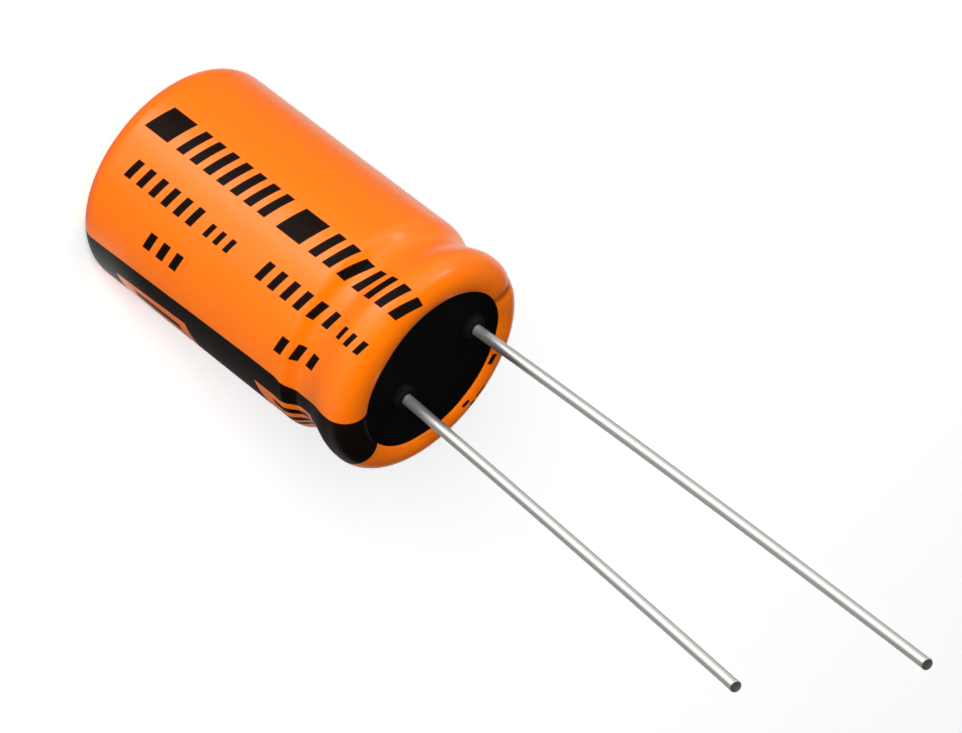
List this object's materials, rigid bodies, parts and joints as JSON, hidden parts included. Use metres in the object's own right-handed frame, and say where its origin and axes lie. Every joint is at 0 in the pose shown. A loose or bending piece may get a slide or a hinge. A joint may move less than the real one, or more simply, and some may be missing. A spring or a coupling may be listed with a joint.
{
  "type": "electrolytic capacitor",
  "caption": "Radial aluminium electrolytic capacitor: an orange sleeved can with a beaded, rolled end, a rubber seal, and one long and one short wire lead.",
  "frame": {"origin": "centre of the head's face, where the part stands on it", "axes": "+Z along the body's axis from the head towards the wires; the long wire is on the -X side and the short wire on the +X side"},
  "size_m": [0.0125, 0.0124, 0.0491],
  "materials": {
    "sleeve": "satin-gloss shrunk vinyl, orange with a black polarity stripe",
    "can": "drawn, satin",
    "rubber": "moulded, matte black",
    "tab": "pressed, satin",
    "tinned_wire": "bright tin over steel",
    "paper": "wound paper and foil, damp",
    "tape": "thin film"
  },
  "bodies": {
    "root": {"sleeve": "sleeve", "can": "can", "rubber_bung": "rubber", "anode_tab": "tab", "cathode_tab": "tab", "anode_lead": "tinned_wire", "cathode_lead": "tinned_wire", "winding": "paper", "stop_tape": "tape"}
  },
  "joints": []
}
